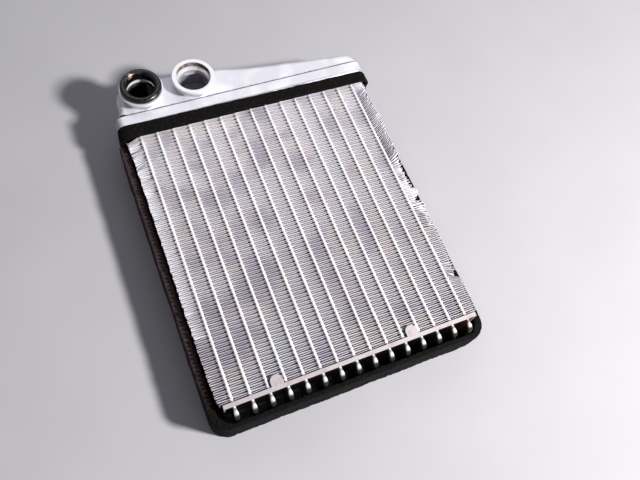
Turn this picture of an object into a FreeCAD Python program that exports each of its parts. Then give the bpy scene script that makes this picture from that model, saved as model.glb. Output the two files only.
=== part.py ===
import FreeCAD, Part
import math
import os

import Sketcher
from FreeCAD import Vector

# A cabin heater core lying on its back. X runs across the tubes, Y runs along them
# towards the tank, and Z comes up out of the face that carries the two ports.
# Inside each piece, y is 0 at the fins' upper ends and z is 0 halfway through the core.
dimensions = [
    # core
    ("tube_count", 15), ("tube_pitch", 9.8), ("tube_thick", 1.5), ("tube_depth", 25.0),
    ("tube_reach", 4.5), ("core_depth", 26.0), ("fin_length", 167.2), ("fin_sheet", 0.25),
    ("fin_waves", 20), ("channel_thick", 0.8), ("channel_inset", 0.6), ("divider_thick", 1.2),
    # rounded tube ends under the comb
    ("neck_half", 0.8), ("bulb_radius", 1.7), ("tube_end", 176.0), ("end_slope", 4.6),
    # comb across the tube ends
    ("comb_length", 148.0), ("comb_sheet", 0.8), ("comb_width", 2.3), ("tab_width", 6.8),
    ("tab_reach", 5.7), ("tab_round", 3.3), ("tab_left", 3.5), ("tab_right", 11.55),
    # header plate
    ("header_length", 161.0), ("header_depth", 31.0), ("header_round", 5.4),
    ("header_base", 0.5), ("header_step", 7.0), ("header_rim", 13.6), ("wall", 1.5),
    # tank cap, as seen from the side of the ports
    ("shoulder_low", 14.0), ("shoulder_high", 20.0), ("left_wall", 75.7),
    ("ports_far", 38.6), ("ports_end", 26.0), ("taper_x", 10.0), ("taper_y", 30.2),
    ("right_far", 22.2), ("left_round", 13.5), ("right_round", 7.5), ("shoulder_round", 6.0),
    ("swell_round", 40.0),
    # divider inside the tank
    ("divider_sheet", 1.0), ("shelf_y", 12.0), ("divider_turn", 44.0),
    # ports
    ("port_left", 59.8), ("port_right", 27.6), ("port_y", 26.4), ("neck_radius", 11.0),
    ("rim_radius", 13.2), ("socket_radius", 10.3), ("throat_radius", 9.3), ("rim_height", 7.3),
    ("rim_thick", 1.6), ("flare_height", 1.3), ("socket_depth", 4.2), ("throat_depth", 6.2),
    ("spigot", 1.8), ("rim_edge", 0.5),
    # rubber seal in the left port
    ("seal_radius", 12.3), ("seal_bore", 8.6), ("seal_height", 3.2), ("seal_skirt", 3.3),
    ("seal_edge", 1.3),
    # foam bands
    ("tape_thick", 2.0), ("tape_width", 8.3), ("tape_low", -2.0), ("band_thick", 5.0),
    ("band_front", 8.0), ("band_under", 3.4), ("band_round", 11.0), ("band_right", 0.0),
    ("band_slope", 18.0),
]

doc = FreeCAD.newDocument("heater_core")
sheet = doc.addObject("Spreadsheet::Sheet", "Dims")
for row, (alias, number) in enumerate(dimensions, 1):
    sheet.set("A%d" % row, alias)
    sheet.set("B%d" % row, str(number))
    sheet.setAlias("B%d" % row, alias)
doc.recompute()


class Size:
    """A length in millimetres, kept with the sheet expression that gives it."""

    def __init__(self, value, text):
        self.value = value
        self.text = text

    def merged(self, other, sign, value):
        other_text = other.text if isinstance(other, Size) else str(other)
        return Size(value, "(%s %s %s)" % (self.text, sign, other_text))

    def __add__(self, other):
        return self.merged(other, "+", self.value + plain(other))

    def __sub__(self, other):
        return self.merged(other, "-", self.value - plain(other))

    def __mul__(self, other):
        return self.merged(other, "*", self.value * plain(other))

    def __truediv__(self, other):
        return self.merged(other, "/", self.value / plain(other))

    def __neg__(self):
        return Size(-self.value, "(0 - %s)" % self.text)


def plain(number):
    return number.value if isinstance(number, Size) else number


size = {alias: Size(float(number), "Dims.%s" % alias) for alias, number in dimensions}

# sizes that follow from the ones in the sheet
half_core = size["core_depth"] / 2
half_header = size["header_depth"] / 2
half_length = size["header_length"] / 2
# the pan below its step, and the cap that stands in its rim, are one sheet narrower than the rim
cap_front = half_header - size["wall"]
cap_end = half_length - size["wall"]
floor_level = cap_front + size["tape_thick"]
fin_width = size["tube_pitch"] - size["tube_thick"]
fin_edge = size["tube_pitch"] * (size["tube_count"] + 1) / 2 - size["tube_thick"] / 2
comb_end = size["fin_length"] + size["comb_width"]
foot_y = size["tube_end"] + size["band_under"]
top_y = size["port_y"] + size["rim_radius"]
# the finished part stands on z = 0 with its box centred on the origin
shift_y = (foot_y - top_y) / 2


def tube_x(position):
    """Place of a tube, counted from 1 at the left; halves lie between two tubes."""
    return (size["tube_count"] + 1) * size["tube_pitch"] / -2 + size["tube_pitch"] * position


def bind(item, path, number):
    if isinstance(number, Size):
        item.setExpression(path, number.text)


def seat(item, x=0.0, y=0.0, z=0.0):
    """Puts a piece at x, y, z of the core and ties that place to the sheet."""
    place = {"x": x, "y": shift_y + y, "z": floor_level + z}
    item.Placement.Base = Vector(*[plain(place[axis]) for axis in "xyz"])
    for axis in "xyz":
        bind(item, "Placement.Base.%s" % axis, place[axis])


def new_body(label):
    body = doc.addObject("PartDesign::Body", label)
    body.Label = label
    return body


def new_sketch(body, role, name, offset=0.0):
    sketch = body.newObject("Sketcher::SketchObject", name)
    plane = [feature for feature in body.Origin.OriginFeatures if feature.Role == role][0]
    sketch.AttachmentSupport = [(plane, "")]
    sketch.MapMode = "FlatFace"
    sketch.AttachmentOffset.Base.z = plain(offset)
    bind(sketch, "AttachmentOffset.Base.z", offset)
    return sketch


def pin(sketch, curve, end, x, y):
    """Fixes one point of a curve at x, y."""
    for kind, number in (("DistanceX", x), ("DistanceY", y)):
        index = sketch.addConstraint(Sketcher.Constraint(kind, -1, 1, curve, end, plain(number)))
        bind(sketch, "Constraints[%d]" % index, number)


def set_radius(sketch, arc, radius):
    index = sketch.addConstraint(Sketcher.Constraint("Radius", arc, plain(radius)))
    bind(sketch, "Constraints[%d]" % index, radius)


def outline(sketch, corners):
    """Closed straight-sided outline whose every corner is placed from the sheet."""
    first = sketch.GeometryCount
    count = len(corners)
    points = [(plain(x), plain(y)) for x, y in corners]
    for index in range(count):
        add_line(sketch, points[index], points[(index + 1) % count])
    for index in range(count):
        following = first + (index + 1) % count
        sketch.addConstraint(Sketcher.Constraint("Coincident", first + index, 2, following, 1))
        pin(sketch, first + index, 1, *corners[index])


def rectangle(sketch, left, right, low, high):
    outline(sketch, [(left, low), (right, low), (right, high), (left, high)])


def add_arc(sketch, centre, radius, start, end):
    circle = Part.Circle(Vector(plain(centre[0]), plain(centre[1]), 0), Vector(0, 0, 1), plain(radius))
    arc = sketch.addGeometry(Part.ArcOfCircle(circle, start, end))
    pin(sketch, arc, 3, *centre)
    return arc


def add_line(sketch, start, end):
    return sketch.addGeometry(Part.LineSegment(Vector(*start, 0), Vector(*end, 0)))


def slot_outline(sketch, x, thick, length):
    """Long hole with round ends, upright on the sketch's second axis."""
    radius = thick / 2
    reach = length / 2 - radius
    middle, half, side = plain(x), reach.value, radius.value
    upper = add_arc(sketch, (x, reach), radius, 0, math.pi)
    lower = add_arc(sketch, (x, -reach), radius, math.pi, 2 * math.pi)
    left = add_line(sketch, (middle - side, half), (middle - side, -half))
    right = add_line(sketch, (middle + side, -half), (middle + side, half))
    for first, second in ((upper, left), (left, lower), (lower, right), (right, upper)):
        sketch.addConstraint(Sketcher.Constraint("Tangent", first, 2, second, 1))
    set_radius(sketch, upper, radius)


def rounded_rectangle(sketch, half_x, half_y, radius):
    """Rectangle about the sketch's origin whose corners are quarter circles."""
    quarter = math.pi / 2
    centres = [(half_x - radius, half_y - radius), (radius - half_x, half_y - radius),
               (radius - half_x, radius - half_y), (half_x - radius, radius - half_y)]
    arcs = [add_arc(sketch, centre, radius, corner * quarter, (corner + 1) * quarter)
            for corner, centre in enumerate(centres)]
    for corner in range(4):
        following = (corner + 1) % 4
        facing = Vector(math.cos((corner + 1) * quarter), math.sin((corner + 1) * quarter), 0) * radius.value
        ends = [Vector(plain(x), plain(y), 0) + facing for x, y in (centres[corner], centres[following])]
        side = sketch.addGeometry(Part.LineSegment(*ends))
        sketch.addConstraint(Sketcher.Constraint("Tangent", arcs[corner], 2, side, 1))
        sketch.addConstraint(Sketcher.Constraint("Tangent", side, 2, arcs[following], 1))
    set_radius(sketch, arcs[0], radius)
    for arc in arcs[1:]:
        sketch.addConstraint(Sketcher.Constraint("Equal", arcs[0], arc))


def extrude(body, kind, sketch, name, length, symmetric=False, backwards=False):
    feature = body.newObject("PartDesign::%s" % kind, name)
    feature.Profile = sketch
    feature.Length = plain(length)
    bind(feature, "Length", length)
    if symmetric:
        feature.SideType = "Symmetric"
    feature.Reversed = backwards
    doc.recompute()
    return feature


def turn(body, sketch, name):
    feature = body.newObject("PartDesign::Revolution", name)
    feature.Profile = sketch
    feature.ReferenceAxis = (sketch, ["V_Axis"])
    doc.recompute()
    return feature


def ease_edges(body, feature, wanted, length, name, bevel=False):
    """Rounds the wanted edges by a radius, or bevels them by a length."""
    kind, measure = ("Chamfer", "Size") if bevel else ("Fillet", "Radius")
    edges = ["Edge%d" % number for number, edge in enumerate(feature.Shape.Edges, 1) if wanted(edge)]
    eased = body.newObject("PartDesign::%s" % kind, name)
    eased.Base = (feature, edges)
    setattr(eased, measure, plain(length))
    bind(eased, measure, length)
    doc.recompute()
    return eased


def repeat_slots(body, slot, sketch):
    """Copies the first tube's slot along the row of tubes."""
    pattern = body.newObject("PartDesign::LinearPattern", "SlotRow")
    pattern.Originals = [slot]
    pattern.Direction = (sketch, ["H_Axis"])
    pattern.Mode = "Spacing"
    bind(pattern, "Offset", size["tube_pitch"])
    bind(pattern, "Occurrences", size["tube_count"])
    body.Tip = pattern
    doc.recompute()
    return pattern


def runs_along(edge, axis):
    """True for a straight edge that is parallel to the named axis."""
    start, end = edge.Vertexes[0].Point, edge.Vertexes[-1].Point
    if edge.Curve.TypeId != "Part::GeomLine" or start == end:
        return False
    return abs(getattr((end - start).normalize(), axis)) > 0.999


def stands_at(edge, x, y):
    """True for an edge parallel to z at x, y."""
    point = edge.Vertexes[0].Point
    return runs_along(edge, "z") and math.hypot(point.x - plain(x), point.y - plain(y)) < 0.01


# Flat tubes. Each has two channels side by side that join in the rounded end,
# so the water comes down one half of a tube and goes back up the other.
def make_tube(number):
    body = new_body("tube_%02d" % number)
    flat = new_sketch(body, "XZ_Plane", "TubeSection", -size["tube_reach"])
    slot_outline(flat, 0.0, size["tube_thick"], size["tube_depth"])
    extrude(body, "Pad", flat, "FlatTube", comb_end + size["tube_reach"])

    end = new_sketch(body, "XY_Plane", "EndSection")
    drop_outline(end)
    extrude(body, "Pad", end, "RoundedEnd", size["tube_depth"], symmetric=True)
    slopes = new_sketch(body, "YZ_Plane", "SlopeOutline")
    past = size["bulb_radius"]
    for side in (1, -1):
        edge = size["tube_depth"] / 2
        corners = [(-size["tube_end"] - past, edge - size["end_slope"] - past),
                   (-size["tube_end"] - past, edge + past),
                   (-size["tube_end"] + size["end_slope"] + past, edge + past)]
        outline(slopes, [(y, z * side) for y, z in corners])
    extrude(body, "Pocket", slopes, "SlopedCorners", size["bulb_radius"] * 4, symmetric=True)

    water = new_sketch(body, "YZ_Plane", "WaterPath")
    outer = size["tube_depth"] / 2 - size["channel_inset"]
    inner = size["divider_thick"] / 2
    low = -(size["tube_end"] - size["bulb_radius"] * 0.75)
    slope = size["end_slope"]
    turn_y = -(size["tube_end"] - size["bulb_radius"] * 3)
    top = size["tube_reach"]
    outline(water, [(top, outer), (low + slope, outer), (low, outer - slope),
                    (low, slope - outer), (low + slope, -outer), (top, -outer),
                    (top, -inner), (turn_y, -inner), (turn_y, inner), (top, inner)])
    extrude(body, "Pocket", water, "WaterChannels", size["channel_thick"], symmetric=True)
    seat(body, x=tube_x(number))
    return body


def drop_outline(sketch):
    """Neck that swells into a round end."""
    half, radius = size["neck_half"], size["bulb_radius"]
    centre = -(size["tube_end"] - radius)
    top = -comb_end
    rise = top.value - centre.value
    flank = math.atan2(rise, half.value) - math.acos(radius.value / math.hypot(half.value, rise))
    touch_x = radius.value * math.cos(flank)
    touch_y = centre.value + radius.value * math.sin(flank)
    arc = add_arc(sketch, (0.0, centre), radius, math.pi - flank, 2 * math.pi + flank)
    right = add_line(sketch, (touch_x, touch_y), (half.value, top.value))
    lid = add_line(sketch, (half.value, top.value), (-half.value, top.value))
    left = add_line(sketch, (-half.value, top.value), (-touch_x, touch_y))
    sketch.addConstraint(Sketcher.Constraint("Tangent", arc, 2, right, 1))
    sketch.addConstraint(Sketcher.Constraint("Coincident", right, 2, lid, 1))
    sketch.addConstraint(Sketcher.Constraint("Coincident", lid, 2, left, 1))
    sketch.addConstraint(Sketcher.Constraint("Tangent", left, 2, arc, 1))
    pin(sketch, right, 2, half, top)
    pin(sketch, left, 1, -half, top)
    set_radius(sketch, arc, radius)


# Corrugated fins. One sheet zigzags between two tubes, and its folds touch their walls.
def make_fin_profile():
    """Thin zigzag: the line of folds, moved right and left by half the sheet's slanted width."""
    waves = int(size["fin_waves"].value)
    leg = size["fin_length"].value / (2 * waves)
    width = fin_width.value
    shift = size["fin_sheet"].value / 2 * math.hypot(width, leg) / leg
    reach = width / 2 - shift
    folds = [(reach if fold % 2 else -reach, -leg * fold) for fold in range(2 * waves + 1)]
    right = [Vector(x + shift, y, 0) for x, y in folds]
    left = [Vector(x - shift, y, 0) for x, y in reversed(folds)]
    profile = doc.addObject("Part::Feature", "FinProfile")
    profile.Shape = Part.Face(Part.makePolygon(right + left + right[:1]))
    return profile


def make_fin(number, profile):
    fin = doc.addObject("Part::Extrusion", "fin_%02d" % number)
    fin.Label = "fin_%02d" % number
    fin.Base = profile
    fin.DirMode = "Custom"
    fin.Dir = Vector(0, 0, 1)
    fin.Solid = True
    fin.Symmetric = True
    bind(fin, "LengthFwd", size["core_depth"])
    seat(fin, x=tube_x(number - 0.5))
    return fin


# Comb. A shallow tray with one slot per tube, and round tabs that lie over both faces.
def make_comb():
    body = new_body("end_comb")
    half_comb = size["comb_length"] / 2
    front = half_core + size["comb_sheet"]
    top = -size["fin_length"]
    block = new_sketch(body, "XZ_Plane", "TrayOutline", -top)
    rectangle(block, -half_comb, half_comb, -front, front)
    extrude(body, "Pad", block, "Tray", size["comb_width"])
    inside = new_sketch(body, "XZ_Plane", "InsideOutline", comb_end)
    rectangle(inside, -half_comb + size["comb_sheet"], half_comb - size["comb_sheet"],
              -half_core, half_core)
    extrude(body, "Pocket", inside, "Inside", size["comb_width"] - size["comb_sheet"])

    for name, level in (("Front", half_core), ("Back", -front)):
        tabs = new_sketch(body, "XY_Plane", name + "TabOutline", level)
        tab_ends = []
        for place in (size["tab_left"], size["tab_right"]):
            left = tube_x(place) - size["tab_width"] / 2
            right = tube_x(place) + size["tab_width"] / 2
            corners = [(left, top - size["comb_sheet"]), (right, top - size["comb_sheet"]),
                       (right, top + size["tab_reach"]), (left, top + size["tab_reach"])]
            outline(tabs, corners)
            tab_ends += corners[2:]
        tab = extrude(body, "Pad", tabs, name + "Tabs", size["comb_sheet"])
        ease_edges(body, tab,
                    lambda edge: near_level(edge, level) and any(stands_at(edge, *end) for end in tab_ends),
                    size["tab_round"], name + "TabEnds")

    slot = new_sketch(body, "XZ_Plane", "SlotOutline", size["fin_length"] + size["comb_sheet"])
    slot_outline(slot, tube_x(1), size["tube_thick"], size["tube_depth"])
    first_slot = extrude(body, "Pocket", slot, "Slot", size["comb_sheet"])
    repeat_slots(body, first_slot, slot)
    seat(body)
    return body


def near_level(edge, level):
    low = min(vertex.Point.z for vertex in edge.Vertexes)
    return abs(low - plain(level)) < 0.01


# Header plate. A deep pan whose floor has one slot per tube. Its rim is set out by one
# sheet's thickness, so that the cap stands on the step inside it.
def make_header():
    body = new_body("header_plate")
    wall, corner = size["wall"], size["header_round"]
    for name, half_x, half_z, radius, low, high in (
            ("LowerPan", cap_end, cap_front, corner - wall, size["header_base"], size["header_rim"]),
            ("Rim", half_length, half_header, corner, size["header_step"], size["header_rim"])):
        block = new_sketch(body, "XZ_Plane", name + "Outline", -low)
        rounded_rectangle(block, half_x, half_z, radius)
        extrude(body, "Pad", block, name, high - low, backwards=True)

    for name, inset, low in (("LowerInside", wall * 2, size["header_base"] + wall),
                             ("RimInside", wall, size["header_step"] + wall)):
        inside = new_sketch(body, "XZ_Plane", name + "Outline", -low)
        rounded_rectangle(inside, half_length - inset, half_header - inset, corner - inset)
        extrude(body, "Pocket", inside, name, size["header_rim"] - low)

    slot = new_sketch(body, "XZ_Plane", "SlotOutline", -size["header_base"])
    slot_outline(slot, tube_x(1), size["tube_thick"], size["tube_depth"])
    first_slot = extrude(body, "Pocket", slot, "Slot", wall)
    repeat_slots(body, first_slot, slot)
    seat(body)
    return body


# Tank cap. The same rounded form made twice, once smaller by the wall, and hollowed.
def make_cap_form(name, inset, base, hollow=False):
    body = new_body(name)
    end_x = cap_end - inset
    left_x = size["left_wall"] - inset
    far_left = (-left_x, size["ports_far"] - inset)
    far_right = (end_x, size["right_far"] - inset)
    swell = [(size["taper_x"], size["taper_y"] - inset), (-size["ports_end"], size["ports_far"] - inset)]
    shoulder = [(-left_x, size["shoulder_high"]), (-end_x, size["shoulder_low"])]
    corners = [(-end_x, base), (end_x, base), far_right] + swell + [far_left] + shoulder

    profile = new_sketch(body, "XY_Plane", "FrontOutline")
    outline(profile, corners)
    half_depth = cap_front - inset
    form = extrude(body, "Pad", profile, "Block", half_depth * 2, symmetric=True)
    for label, places, radius in (
            ("LeftEnd", [far_left], size["left_round"] - inset),
            ("RightEnd", [far_right], size["right_round"] - inset),
            ("Shoulder", shoulder, size["shoulder_round"]),
            ("Swell", swell, size["swell_round"])):
        form = ease_edges(body, form, lambda edge: any(stands_at(edge, *place) for place in places),
                           radius, label)

    def on_rim(edge):
        points = [vertex.Point for vertex in edge.Vertexes]
        on_face = all(abs(abs(point.z) - half_depth.value) < 0.01 for point in points)
        at_base = all(abs(point.y - plain(base)) < 0.01 for point in points)
        return on_face and not at_base

    ease_edges(body, form, on_rim, size["header_round"] - size["wall"] - inset, "Rim", bevel=hollow)
    return body


def make_cap(cavity):
    outside = make_cap_form("CapOutside", size["wall"] * 0, size["header_step"] + size["wall"])
    shell = doc.addObject("Part::Cut", "CapShell")
    shell.Base = outside
    shell.Tool = cavity
    holes = []
    for name, x in (("LeftHole", -size["port_left"]), ("RightHole", -size["port_right"])):
        hole = doc.addObject("Part::Cylinder", name)
        bind(hole, "Radius", size["neck_radius"])
        bind(hole, "Height", size["spigot"] * 2)
        bind(hole, "Placement.Base.x", x)
        bind(hole, "Placement.Base.y", size["port_y"])
        bind(hole, "Placement.Base.z", cap_front - size["spigot"])
        holes.append(hole)
    both = doc.addObject("Part::MultiFuse", "PortHoles")
    both.Shapes = holes
    cap = doc.addObject("Part::Cut", "tank_cap")
    cap.Label = "tank_cap"
    cap.Base = shell
    cap.Tool = both
    seat(cap)
    return cap


# Divider. It parts the tank's front and back halves along the tubes. Left of its turn it
# is low, and a shelf covers the front half, so the left port reaches only the back half.
def make_divider(cavity):
    half_sheet = size["divider_sheet"] / 2
    turn_x = -size["divider_turn"]
    shelf_low = size["shelf_y"] - size["divider_sheet"]
    low = size["tube_reach"]
    plates = []
    for name, x_span, y_span, z_span in (
            ("LongWall", (turn_x - half_sheet, half_length), (low, size["ports_far"]),
             (-half_sheet, half_sheet)),
            ("LowWall", (-half_length, turn_x), (low, size["shelf_y"]), (-half_sheet, half_sheet)),
            ("Shelf", (-half_length, turn_x), (shelf_low, size["shelf_y"]), (-half_sheet, half_header)),
            ("CrossWall", (turn_x - half_sheet, turn_x + half_sheet), (shelf_low, size["ports_far"]),
             (-half_sheet, half_header))):
        plate = doc.addObject("Part::Box", name)
        for side, axis, span in (("Length", "x", x_span), ("Width", "y", y_span), ("Height", "z", z_span)):
            bind(plate, side, span[1] - span[0])
            bind(plate, "Placement.Base.%s" % axis, span[0])
        plates.append(plate)
    folded = doc.addObject("Part::MultiFuse", "FoldedSheet")
    folded.Shapes = plates
    divider = doc.addObject("Part::Common", "tank_divider")
    divider.Label = "tank_divider"
    divider.Base = folded
    divider.Tool = cavity
    seat(divider)
    return divider


# Port collars. A neck let into the cap, flared into a flat rim round a stepped socket.
def make_collar(label, x):
    body = new_body(label)
    profile = new_sketch(body, "XZ_Plane", "CollarProfile")
    rim_low = size["rim_height"] - size["rim_thick"]
    outline(profile, [
        (size["throat_radius"], -size["spigot"]),
        (size["neck_radius"], -size["spigot"]),
        (size["neck_radius"], rim_low - size["flare_height"]),
        (size["rim_radius"], rim_low),
        (size["rim_radius"], size["rim_height"]),
        (size["socket_radius"], size["rim_height"]),
        (size["socket_radius"], size["rim_height"] - size["socket_depth"]),
        (size["throat_radius"], size["rim_height"] - size["throat_depth"])])
    collar = turn(body, profile, "Collar")
    ease_edges(body, collar, lambda edge: is_ring(edge, size["rim_radius"]) or is_mouth(edge),
                size["rim_edge"], "RimEdges", bevel=True)
    seat(body, x=x, y=size["port_y"], z=cap_front)
    return body


def is_ring(edge, radius):
    return edge.Curve.TypeId == "Part::GeomCircle" and abs(edge.Curve.Radius - radius.value) < 0.01


def is_mouth(edge):
    return (is_ring(edge, size["socket_radius"])
            and abs(edge.Curve.Center.z - size["rim_height"].value) < 0.01)


# Port seal. A rubber ring on the rim, with a skirt that lines the socket.
def make_seal():
    body = new_body("port_seal")
    profile = new_sketch(body, "XZ_Plane", "SealProfile")
    seal_low = size["rim_height"] - size["seal_skirt"]
    seal_top = size["rim_height"] + size["seal_height"]
    outline(profile, [
        (size["seal_bore"], seal_low),
        (size["socket_radius"], seal_low),
        (size["socket_radius"], size["rim_height"]),
        (size["seal_radius"], size["rim_height"]),
        (size["seal_radius"], seal_top),
        (size["seal_bore"], seal_top)])
    seal = turn(body, profile, "Seal")
    ease_edges(body, seal,
                lambda edge: is_ring(edge, size["seal_radius"])
                or (is_ring(edge, size["seal_bore"]) and abs(edge.Curve.Center.z - seal_top.value) < 0.01),
                size["seal_edge"], "SealEdges", bevel=True)
    seat(body, x=-size["port_left"], y=size["port_y"], z=cap_front)
    return body


# Foam tape round the header plate. It reaches down over the fins' ends.
def make_header_foam():
    body = new_body("header_foam")
    corner = size["header_round"] - size["wall"]
    block = new_sketch(body, "XZ_Plane", "TapeOutline", -size["tape_low"])
    rounded_rectangle(block, cap_end + size["tape_thick"], floor_level, corner + size["tape_thick"])
    extrude(body, "Pad", block, "Tape", size["tape_width"], backwards=True)
    inside = new_sketch(body, "XZ_Plane", "PanOutline", -size["tape_low"])
    rounded_rectangle(inside, cap_end, cap_front, corner)
    extrude(body, "Pocket", inside, "Inside", size["tape_width"])
    seat(body)
    return body


# Foam band down the left side, under the tube ends and up the right side, where it is lower.
def make_edge_foam():
    body = new_body("edge_foam")
    outer_x = fin_edge + size["band_thick"]
    top = size["tape_low"]
    outer_corners = [(-outer_x, -foot_y), (outer_x, -foot_y)]
    inner_corners = [(fin_edge, -size["tube_end"]), (-fin_edge, -size["tube_end"])]
    profile = new_sketch(body, "XY_Plane", "BandOutline", -floor_level)
    outline(profile, [(-outer_x, top)] + outer_corners + [(outer_x, top), (fin_edge, top)]
            + inner_corners + [(-fin_edge, top)])
    band = extrude(body, "Pad", profile, "Band", floor_level + size["band_front"])
    band = ease_edges(body, band, lambda edge: any(stands_at(edge, *place) for place in outer_corners),
                      size["band_round"], "OuterCorners")
    ease_edges(body, band, lambda edge: any(stands_at(edge, *place) for place in inner_corners),
               size["band_round"] - size["band_thick"], "InnerCorners")

    lowered = new_sketch(body, "XZ_Plane", "RightSideOutline", foot_y)
    slope_x = fin_edge - size["band_slope"]
    outline(lowered, [(slope_x, size["band_front"]), (fin_edge, size["band_right"]),
                      (outer_x, size["band_right"]), (outer_x, size["band_front"])])
    extrude(body, "Pocket", lowered, "LowerRightSide", foot_y + top)
    seat(body)
    return body


tubes = range(1, int(size["tube_count"].value) + 1)
pieces = [make_tube(number) for number in tubes]
fin_profile = make_fin_profile()
pieces += [make_fin(number, fin_profile) for number in range(1, len(tubes) + 2)]
tank_cavity = make_cap_form("TankCavity", size["wall"], size["tube_reach"], hollow=True)
pieces += [
    make_comb(),
    make_header(),
    make_cap(tank_cavity),
    make_divider(tank_cavity),
    make_collar("left_port", -size["port_left"]),
    make_collar("right_port", -size["port_right"]),
    make_seal(),
    make_header_foam(),
    make_edge_foam(),
]
doc.recompute()

for item in doc.Objects:
    if "Invalid" in item.State or "Error" in item.State:
        raise RuntimeError("%s did not recompute: %s" % (item.Label, item.State))
os.makedirs("parts", exist_ok=True)
for piece in pieces:
    shape = piece.Shape
    if shape.isNull() or not shape.isValid() or len(shape.Solids) != 1:
        raise RuntimeError("%s is not one valid solid" % piece.Label)
for piece in pieces:
    piece.Shape.exportStep("parts/%s.step" % piece.Label)
    box = piece.Shape.BoundBox
    print("%-14s %9.1f mm3  x %7.2f %7.2f  y %8.2f %7.2f  z %6.2f %6.2f" % (
        piece.Label, piece.Shape.Volume, box.XMin, box.XMax, box.YMin, box.YMax, box.ZMin, box.ZMax))
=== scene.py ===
import math

import bpy
import numpy as np
from mathutils import Euler, Matrix, Vector


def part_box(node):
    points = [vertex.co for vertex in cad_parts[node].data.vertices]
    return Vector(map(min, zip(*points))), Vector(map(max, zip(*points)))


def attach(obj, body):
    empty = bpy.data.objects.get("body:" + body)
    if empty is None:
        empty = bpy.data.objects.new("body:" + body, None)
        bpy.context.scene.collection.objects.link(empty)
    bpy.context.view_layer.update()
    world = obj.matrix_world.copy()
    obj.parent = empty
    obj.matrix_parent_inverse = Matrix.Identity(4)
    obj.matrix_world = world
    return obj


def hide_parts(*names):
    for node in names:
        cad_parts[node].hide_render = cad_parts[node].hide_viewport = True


# A used cabin heater core: worn aluminium, torn fins and crumbling foam, dressed over the CAD solids.
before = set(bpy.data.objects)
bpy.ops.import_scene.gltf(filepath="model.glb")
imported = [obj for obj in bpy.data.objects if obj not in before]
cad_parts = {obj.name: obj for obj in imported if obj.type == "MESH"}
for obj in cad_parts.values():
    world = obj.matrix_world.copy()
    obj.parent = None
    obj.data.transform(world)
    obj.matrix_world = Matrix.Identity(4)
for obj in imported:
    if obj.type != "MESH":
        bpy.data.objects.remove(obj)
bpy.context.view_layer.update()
mm = 0.001


# Large odd numbers that scatter the corners of the noise lattice: one for each axis, one for the seed and
# one for the second round. The last is how many values a corner can take.
axisScatter = np.array([73856093, 19349663, 83492791])
seedScatter, roundScatter, noiseLevels = 97531, 1274126177, 65536


# Smooth noise from -1 to 1: a random value at each corner of a lattice of the given cell size,
# blended between the eight corners around a point with an S-curve.
def smoothNoise(points, cell, seed):
    scaled = np.asarray(points, dtype=float) / cell
    base = np.floor(scaled).astype(np.int64)
    part = scaled - base
    part = part * part * (3 - 2 * part)
    total = np.zeros(scaled.shape[:-1])
    for corner in range(8):
        step = np.array([corner & 1, corner >> 1 & 1, corner >> 2 & 1])
        mixed = np.bitwise_xor.reduce((base + step) * axisScatter, axis=-1) ^ seed * seedScatter
        mixed = (mixed ^ mixed >> 13) * roundScatter & 0x7FFFFFFF
        mixed = (mixed ^ mixed >> 16) % noiseLevels
        total += mixed / (noiseLevels - 1) * np.prod(np.where(step == 1, part, 1 - part), axis=-1)
    return total * 2 - 1


# Goes from 0 at start to 1 at end along an S-curve.
def easeStep(value, start, end):
    share = np.clip((value - start) / (end - start), 0, 1)
    return share * share * (3 - 2 * share)


# How far points are from a place (x, y), seen from the front.
def flatDistance(points, place):
    return np.linalg.norm(points[..., :2] - np.array(place), axis=-1)


# Rings of points, rows x columns x 3, become one closed skin. Columns always join round.
# Rows join round too when joined is set, and otherwise each end is closed by a ladder of quads
# across its ring. A skin whose volume comes out negative is turned the right way out. Each mask is
# a number for every point, kept as an attribute that a material reads.
def skinPiece(name, rings, joined=False, sharpAngle=None, masks=None):
    rows, columns = rings.shape[:2]
    row = np.arange(rows if joined else rows - 1)[:, None]
    column = np.arange(columns)[None, :]
    nextRow, nextColumn = (row + 1) % rows, (column + 1) % columns
    quads = np.stack([row * columns + column, row * columns + nextColumn,
                      nextRow * columns + nextColumn, nextRow * columns + column], axis=-1).reshape(-1, 4)
    if not joined:
        rung = np.arange(columns // 2 - 1)
        ladder = np.stack([rung, columns - 1 - rung, columns - 2 - rung, rung + 1], axis=-1)
        quads = np.concatenate([quads, ladder, ladder[:, ::-1] + (rows - 1) * columns])
    points = rings.reshape(-1, 3)
    a, b, c, d = (points[quads[:, index]] for index in range(4))
    volume = (np.einsum("ij,ij->i", a, np.cross(b, c)) + np.einsum("ij,ij->i", a, np.cross(c, d))).sum()
    if volume < 0:
        quads = quads[:, ::-1]
    mesh = bpy.data.meshes.new(name)
    mesh.vertices.add(len(points))
    mesh.vertices.foreach_set("co", points.astype(np.float32).ravel())
    mesh.loops.add(quads.size)
    mesh.loops.foreach_set("vertex_index", quads.astype(np.int32).ravel())
    mesh.polygons.add(len(quads))
    mesh.polygons.foreach_set("loop_start", np.arange(0, quads.size, 4, dtype=np.int32))
    mesh.update(calc_edges=True)
    mesh.polygons.foreach_set("use_smooth", np.ones(len(quads), dtype=bool))
    if sharpAngle is not None:
        mesh.set_sharp_from_angle(angle=math.radians(sharpAngle))
    for key, mask in (masks or {}).items():
        attribute = mesh.attributes.new(key, "FLOAT", "POINT")
        attribute.data.foreach_set("value", np.broadcast_to(mask, rings.shape[:2]).astype(np.float32).ravel())
    piece = bpy.data.objects.new(name, mesh)
    bpy.context.scene.collection.objects.link(piece)
    return piece


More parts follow.
